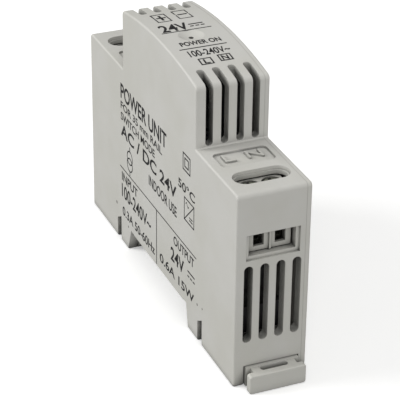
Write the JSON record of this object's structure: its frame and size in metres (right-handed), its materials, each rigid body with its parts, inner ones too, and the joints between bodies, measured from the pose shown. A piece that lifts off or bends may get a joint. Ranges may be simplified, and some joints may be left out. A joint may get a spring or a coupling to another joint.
{
  "type": "din rail power supply",
  "caption": "One-module mains power supply for a 35 mm rail: vented stepped case, sliding rail latch, rising-clamp screw terminals at both ends.",
  "frame": {"origin": "centre of the face that sits on the rail, on the middle plane of the module", "axes": "+Z out of the panel through the crowned front, +X across the rail towards the mains terminals, +Y along the rail away from the marked flank"},
  "size_m": [0.094, 0.0176, 0.0651],
  "materials": {
    "housing_plastic": "fine matt texture, light warm grey",
    "latch_plastic": "smooth satin, light warm grey",
    "terminal_plastic": "smooth satin, light grey",
    "plated_steel": "zinc plated, slightly dull",
    "spring_steel": "drawn wire",
    "tinned_brass": "tin plated",
    "board_laminate": "green solder mask on laminate",
    "dark_plastic": "moulded epoxy",
    "light_chip_plastic": "moulded epoxy, off-white",
    "coated_ceramic_blue": "dipped epoxy coat",
    "capacitor_case_grey": "moulded box",
    "capacitor_sleeve": "shrunk sleeve",
    "ferrite": "sintered, ground on the mating faces",
    "copper_wire": "enamelled copper wire",
    "bobbin_plastic": "moulded phenolic",
    "insulating_tape": "polyester tape",
    "aluminium": "mill finish",
    "lamp_lens": "tinted, diffusing"
  },
  "bodies": {
    "housing": {"housing_body": "housing_plastic", "side_cover": "housing_plastic", "latch_spring": "spring_steel", "circuit_board": "board_laminate", "fuse": "dark_plastic", "varistor": "coated_ceramic_blue", "filter_capacitor": "capacitor_case_grey", "filter_choke_core": "ferrite", "filter_choke_windings": "copper_wire", "bridge_rectifier": "dark_plastic", "bulk_capacitor": "capacitor_sleeve", "switching_transistor": "dark_plastic", "heat_sink": "aluminium", "heat_sink_screw": "plated_steel", "controller_chip": "dark_plastic", "chip_resistors": "dark_plastic", "transformer_core": "ferrite", "transformer_bobbin": "bobbin_plastic", "transformer_winding": "copper_wire", "transformer_tape": "insulating_tape", "optocoupler": "light_chip_plastic", "y_capacitor": "coated_ceramic_blue", "output_diode": "dark_plastic", "output_capacitors": "capacitor_sleeve", "output_choke_core": "ferrite", "output_choke_winding": "copper_wire", "indicator_lamp": "lamp_lens", "mains_terminal_block": "terminal_plastic", "mains_contact_pins": "tinned_brass", "output_terminal_block": "terminal_plastic", "output_contact_pins": "tinned_brass"},
    "latch": {"rail_latch": "latch_plastic"},
    "mains_screw_1": {"mains_screw_1": "plated_steel"},
    "mains_clamp_1": {"mains_clamp_cage_1": "plated_steel"},
    "mains_screw_2": {"mains_screw_2": "plated_steel"},
    "mains_clamp_2": {"mains_clamp_cage_2": "plated_steel"},
    "output_screw_1": {"output_screw_1": "plated_steel"},
    "output_clamp_1": {"output_clamp_cage_1": "plated_steel"},
    "output_screw_2": {"output_screw_2": "plated_steel"},
    "output_clamp_2": {"output_clamp_cage_2": "plated_steel"}
  },
  "joints": [
    {"name": "latch_slide", "type": "slide", "parent": "housing", "child": "latch", "axis": [1, 0, 0], "range_m": [0, 0.003], "stiffness_N_per_m": 3000, "springref_m": -0.001, "deforming": ["latch_spring"]},
    {"name": "mains_screw_1_turn", "type": "hinge", "parent": "housing", "child": "mains_screw_1", "pos_m": [0.0379, -0.00254, 0.0375], "axis": [0, 0, -1], "range_deg": [0, 1500]},
    {"name": "mains_clamp_1_rise", "type": "slide", "parent": "housing", "child": "mains_clamp_1", "axis": [0, 0, 1], "range_m": [0, 0.00208]},
    {"name": "mains_screw_2_turn", "type": "hinge", "parent": "housing", "child": "mains_screw_2", "pos_m": [0.0379, 0.00254, 0.0375], "axis": [0, 0, -1], "range_deg": [0, 1500]},
    {"name": "mains_clamp_2_rise", "type": "slide", "parent": "housing", "child": "mains_clamp_2", "axis": [0, 0, 1], "range_m": [0, 0.00208]},
    {"name": "output_screw_1_turn", "type": "hinge", "parent": "housing", "child": "output_screw_1", "pos_m": [-0.0379, -0.00254, 0.0375], "axis": [0, 0, -1], "range_deg": [0, 1500]},
    {"name": "output_clamp_1_rise", "type": "slide", "parent": "housing", "child": "output_clamp_1", "axis": [0, 0, 1], "range_m": [0, 0.00208]},
    {"name": "output_screw_2_turn", "type": "hinge", "parent": "housing", "child": "output_screw_2", "pos_m": [-0.0379, 0.00254, 0.0375], "axis": [0, 0, -1], "range_deg": [0, 1500]},
    {"name": "output_clamp_2_rise", "type": "slide", "parent": "housing", "child": "output_clamp_2", "axis": [0, 0, 1], "range_m": [0, 0.00208]}
  ],
  "couplings": [
    {"joint": "mains_screw_1_turn", "follows": "mains_clamp_1_rise", "rad_per_m": 12566},
    {"joint": "mains_screw_2_turn", "follows": "mains_clamp_2_rise", "rad_per_m": 12566},
    {"joint": "output_screw_1_turn", "follows": "output_clamp_1_rise", "rad_per_m": 12566},
    {"joint": "output_screw_2_turn", "follows": "output_clamp_2_rise", "rad_per_m": 12566}
  ]
}
